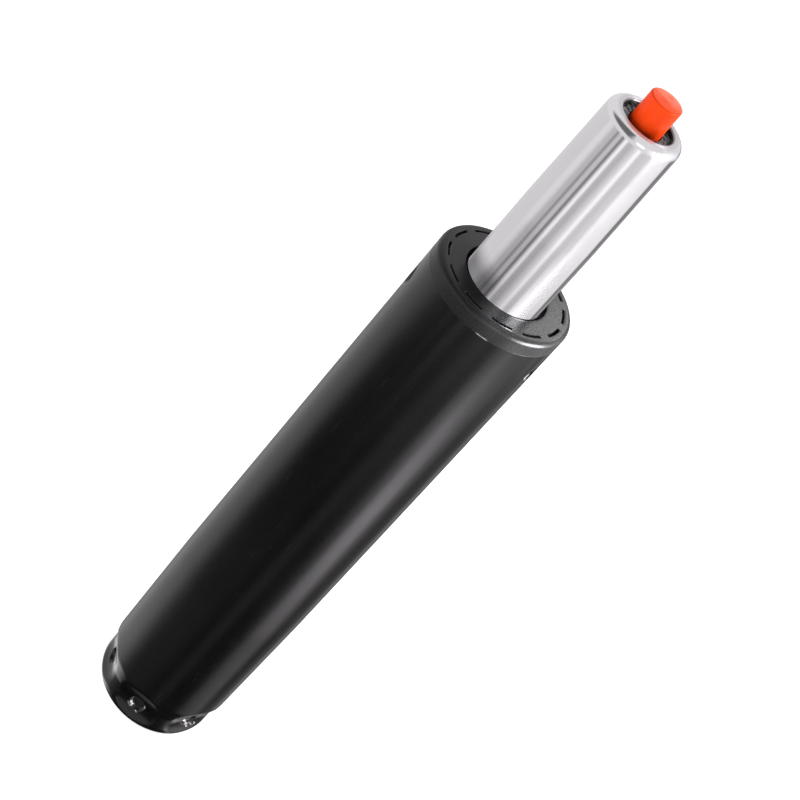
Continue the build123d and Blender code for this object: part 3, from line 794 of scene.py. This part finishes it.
# Piston rod: ground and plated bar. Its stepped tail goes through the bearing and base plate,
# where a washer and a horseshoe clip hold it, and its head is peened over the piston.
piston_rod = turned("piston_rod_ground", eased([
    (0, 5.7, 0), (0.9, 5, 0.1), (4, 5, 0.6), (4, 7.2, 0.08), (3.2, 7.2, 0.05), (3.2, 8.2, 0.05),
    (4, 8.2, 0.08), (4, 20.36, 0.2), (5, 20.36, 0.2), (5, 178.56, 0.3), (3.5, 178.56, 0.2),
    (3.5, 193.76, 0.2), (5, 193.76, 0.2), (5, 194.76, 0.6), (3.5, 195.76, 0.5), (0, 195.76, 0),
]), 96)
ground_steel = Finish("ground_and_plated_steel")
feed = ground_steel.rings(0.09)
haze = ground_steel.grain(3, 3, 8, detail=3)
ground_steel.coat(
    piston_rod, ground_steel.tint(haze, (0.66, 0.66, 0.67), (0.76, 0.76, 0.77)),
    0.12 + 0.10 * feed, ground_steel.bump(feed, 0.0005), Metallic=1,
)
rod_washer = turned("rod_washer_plated", eased([
    (4.02, 8.2, 0.15), (8, 8.2, 0.25), (8, 9.2, 0.25), (4.02, 9.2, 0.15),
]), 128)
rod_washer.data.materials.append(zinc.material)
clip_mesh = bpy.data.meshes.new("clip")
clip = bmesh.new()
clip_radius, groove_radius, mouth_half = 6.6, 3.22, 2.737
arm = math.asin(mouth_half / clip_radius)
jaw = math.asin(mouth_half / groove_radius)
profile = [(clip_radius, arm + 2 * (math.pi - arm) * n / 96) for n in range(97)]
profile += [(groove_radius, 2 * math.pi - jaw - 2 * (math.pi - jaw) * n / 60) for n in range(61)]
lower, upper = (
    [clip.verts.new(Vector((r * math.cos(a), r * math.sin(a), height)) * MM) for r, a in profile]
    for height in (7.2, 8.2)
)
clip.faces.new(lower)
clip.faces.new(upper)
for n in range(len(profile)):
    after = (n + 1) % len(profile)
    clip.faces.new((lower[n], lower[after], upper[after], upper[n]))
clip.to_mesh(clip_mesh)
clip.free()
retaining_clip = placed("retaining_clip_sprung", clip_mesh)
stamped = retaining_clip.modifiers.new("stamped edge", "BEVEL")
stamped.width = 0.1 * MM
stamped.segments = 2
stamped.limit_method = "ANGLE"
settle(retaining_clip)
retaining_clip.data.shade_smooth()
retaining_clip.data.set_sharp_from_angle(angle=math.radians(34))
sprung = Finish("blackened_spring_steel")
oil = sprung.grain(0.9, 0.9, 0.9, detail=3)
sprung.coat(
    retaining_clip, sprung.tint(oil, (0.10, 0.095, 0.09), (0.22, 0.21, 0.20)),
    0.34 + 0.20 * oil, sprung.bump(oil, 0.004), Metallic=1,
)
for piece, node, slot in (
    (piston_rod, "piston_rod", "ground_steel"), (rod_washer, "rod_washer", "zinc_plate"),
    (retaining_clip, "retaining_clip", "spring_steel"),
):
    piece.visible_glossy = False
    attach(piece, "rod")
    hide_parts(node)


# Rubber bumper: a moulded ring with a waist, slipped over the rod onto the upper race. The
# pressure tube lands on it at the lowest setting.
bumper = turned("rubber_bumper_moulded", eased([
    (5.02, 20.36, 0.3), (11.4, 20.36, 0.6), (11.4, 25.36, 0.9), (9.8, 25.36, 0.6),
    (9.8, 29.36, 0.6), (11.4, 29.36, 0.9), (11.4, 34.36, 1.6), (5.02, 34.36, 0.3),
]), 160)
rubber = Finish("moulded_rubber")
bloom = rubber.grain(1.8, 1.8, 1.8, detail=4)
pimple = rubber.grain(0.15, 0.15, 0.15, detail=1)
rubber.coat(
    [bumper, cad_nodes["piston_ring"]],
    rubber.tint(bloom, (0.018, 0.018, 0.018), (0.040, 0.040, 0.041)),
    0.52 + 0.20 * bloom, rubber.bump(pimple, 0.008),
)
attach(bumper, "rod")
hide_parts("rubber_bumper")


# Piston: a turned alloy disc with a rubber ring in its groove, under a plated washer. The valve
# body is turned from the same alloy, and the tube's support washers are plated like that one.
alloy = Finish("turned_alloy")
turning = alloy.rings(0.16)
alloy_haze = alloy.grain(2.5, 2.5, 2.5, detail=3)
alloy_colour = alloy.tint(turning, (0.60, 0.60, 0.60), (0.74, 0.74, 0.74))
alloy.coat(
    [cad_nodes["piston"], cad_nodes["valve_body"]], alloy_colour,
    0.24 + 0.12 * turning + 0.08 * alloy_haze, alloy.bump(turning, 0.0015), Metallic=1,
)
for name in ("piston_washer", "lower_support_washer", "upper_support_washer"):
    cad_nodes[name].material_slots[0].material = zinc.material


# Pressure tube: seamless tube, bright plated, that slides in the sleeve's bore. Its upper end is
# drawn to a cone for the seat mechanism and rolled in over the washer, its foot is rolled in too.
pressure_tube = turned("pressure_tube_plated", closer(eased([
    (9, 308.6, 0.7), (13.3, 308.6, 3), (14, 264.6, 250), (14, 34.66, 1.7), (10, 34.66, 0.4),
    (10, 36.26, 0.3), (12.4, 36.26, 0.3), (12.4, 264.6, 0), (11.73, 307, 0.3), (9, 307, 0.3),
], steps=12), lambda point: 24), 320)
plating = Finish("bright_plating")
drawn = plating.grain(0.10, 0.10, 60, detail=3)
broad = plating.grain(0.8, 0.8, 90, detail=3)
milky = plating.grain(5, 5, 14, detail=4)
rub_marks = plating.ease(plating.grain(0.25, 0.25, 5, detail=3) + milky * 0.15, 0.74, 0.82)
pits = plating.ease(plating.grain(0.30, 0.30, 0.30, detail=0), 0.80, 0.84)
bright = plating.tint(drawn * 0.6 + milky * 0.4, (0.74, 0.735, 0.75), (0.86, 0.855, 0.865))
bright = plating.blend(pits * 0.4, bright, (0.35, 0.34, 0.34, 1))

# The rolled-in edge is duller, with a dark cut end, and its inner rounding is darkened as painted
# shade. Low on the tube, away from the front, painted shade darkens the plating, near black at the
# mouth.
out = apart(plating.x, plating.y)
rolled = plating.ease(out, 11.6, 10.4) * plating.ease(plating.z, 306, 306.8)
cut_edge = plating.ease(plating.z, 308.35, 308.05) * rolled
bright = plating.blend(rolled * 0.4, bright, (0.55, 0.54, 0.55, 1))
# Painted shade: the inner rounding of the rolled edge is darkened.
bright = plating.blend(plating.ease(out, 9.75, 9.25) * rolled * 0.8, bright, (0.16, 0.15, 0.15, 1))
bright = plating.blend(cut_edge, bright, (0.03, 0.03, 0.03, 1))
tube_angle = plating.y.math("ARCTAN2", plating.x)
low_shade = plating.ease(plating.z, 247, 239) * plating.ease(tube_angle, -1.55, -1.85)
higher_shade = plating.ease(plating.z, 254, 243) * plating.ease(tube_angle, -2.7, -2.95)
low_shade = low_shade.math("MAXIMUM", higher_shade)
# Painted shade low on the tube, on the side away from the front.
bright = plating.blend(low_shade * 0.72, bright, (0.14, 0.14, 0.145, 1))
mouth_shade = plating.ease(plating.z, 243, 238.2) * plating.ease(tube_angle, -2.2, -3.0)
# Painted shade: near black just above the sleeve's mouth.
bright = plating.blend(mouth_shade * 0.7, bright, (0.02, 0.02, 0.02, 1))
shine = 0.08 + 0.05 * milky + 0.04 * drawn + 0.10 * rub_marks + 0.06 * low_shade + 0.26 * rolled
lines = plating.bump(drawn, 0.0006)
lines = plating.bump(broad, 0.0012, lines)
plating.coat(
    pressure_tube, bright, shine, lines, Metallic=1, Anisotropic=0.9, Anisotropic_Rotation=0.25,
    Tangent=plating.node("ShaderNodeTangent", {"direction_type": "RADIAL", "axis": "Z"}, {}),
)
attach(pressure_tube, "pressure_tube")
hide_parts("pressure_tube")


# Inside the pressure tube: a drawn liner for the piston, and at the foot a filled plastic rod
# guide and a rubber lip seal between two plated washers.
liner_steel = Finish("drawn_steel")
liner_lines = liner_steel.grain(0.15, 0.15, 40, detail=3)
liner_steel.coat(
    cad_nodes["inner_tube"],
    liner_steel.tint(liner_lines, (0.46, 0.46, 0.46), (0.60, 0.60, 0.60)),
    0.30 + 0.16 * liner_lines, liner_steel.bump(liner_lines, 0.001), Metallic=1,
)
guide = Finish("filled_plastic")
filler = guide.grain(0.25, 0.25, 0.25, detail=2)
guide.coat(
    cad_nodes["rod_guide"], guide.tint(filler, (0.09, 0.09, 0.09), (0.16, 0.16, 0.155)),
    0.42 + 0.14 * filler, guide.bump(filler, 0.005),
)
seal = Finish("smooth_seal_rubber")
smear = seal.grain(1.1, 1.1, 1.1, detail=3)
seal.coat(
    [cad_nodes[name] for name in ("rod_seal", "head_o_ring", "spigot_o_ring", "pin_o_rings")],
    seal.tint(smear, (0.014, 0.014, 0.014), (0.026, 0.026, 0.027)),
    0.30 + 0.18 * smear, seal.bump(smear, 0.003),
)


# Top washer: oiled dark steel ring under the tube's rolled-in edge, which holds the valve body
# down. It shows as the dark gap round the button.
top_washer = turned("top_washer_oiled", eased([
    (5.9, 305.5, 0.15), (10.55, 305.5, 0.2), (10.55, 307, 0.2), (5.9, 307, 0.3),
]), 128)
oiled = Finish("oiled_dark_steel")
film = oiled.grain(1.2, 1.2, 1.2, detail=4)
oiled.coat(
    top_washer,
    oiled.tint(oiled.ease(film, 0.42, 0.66), (0.012, 0.012, 0.012), (0.30, 0.295, 0.29)),
    0.28 + 0.22 * film, oiled.bump(film, 0.004), Metallic=1,
)
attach(top_washer, "pressure_tube")
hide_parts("top_washer")


# Release button: orange moulded cap pushed onto the steel valve pin. The seat's lever presses it,
# which leaves faint rubbed rings on its top.
button = turned("release_button_moulded", closer(eased([
    (0, 311, 0), (2.52, 311, 0), (2.52, 302, 0.2), (5.6, 302, 0.4), (5.6, 317.3, 0.55),
    (0, 317.3, 0),
], steps=8), lambda point: 2.0), 160)
orange = Finish("orange_plastic")
tone = orange.grain(2.6, 2.6, 3.4, detail=3)
skin = orange.grain(0.22, 0.22, 0.22, detail=2)
pressed_on = orange.ease(orange.z, 317.0, 317.25)
wipe = orange.ease(orange.rings(0.5, detail=3), 0.52, 0.68) * pressed_on
orange_colour = orange.tint(tone, (0.88, 0.046, 0.002), (0.97, 0.074, 0.005))
# Painted highlight: the top turns paler toward the back, with cloudy edges.
back_sheen = orange.ease(orange.y * 0.12 + tone * 1.4, 0.4, 1.3) * pressed_on
orange_colour = orange.blend(wipe * 0.2, orange_colour, (0.95, 0.20, 0.06, 1))
orange_colour = orange.blend(back_sheen * 0.7, orange_colour, (0.72, 0.27, 0.18, 1))
orange.coat(
    button, orange_colour, 0.33 + 0.10 * tone + 0.10 * wipe,
    orange.bump(tone, 0.02, orange.bump(skin, 0.004)), Specular_IOR_Level=0.18,
)
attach(button, "button")
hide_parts("release_button")
cad_nodes["valve_pin"].material_slots[0].material = ground_steel.material
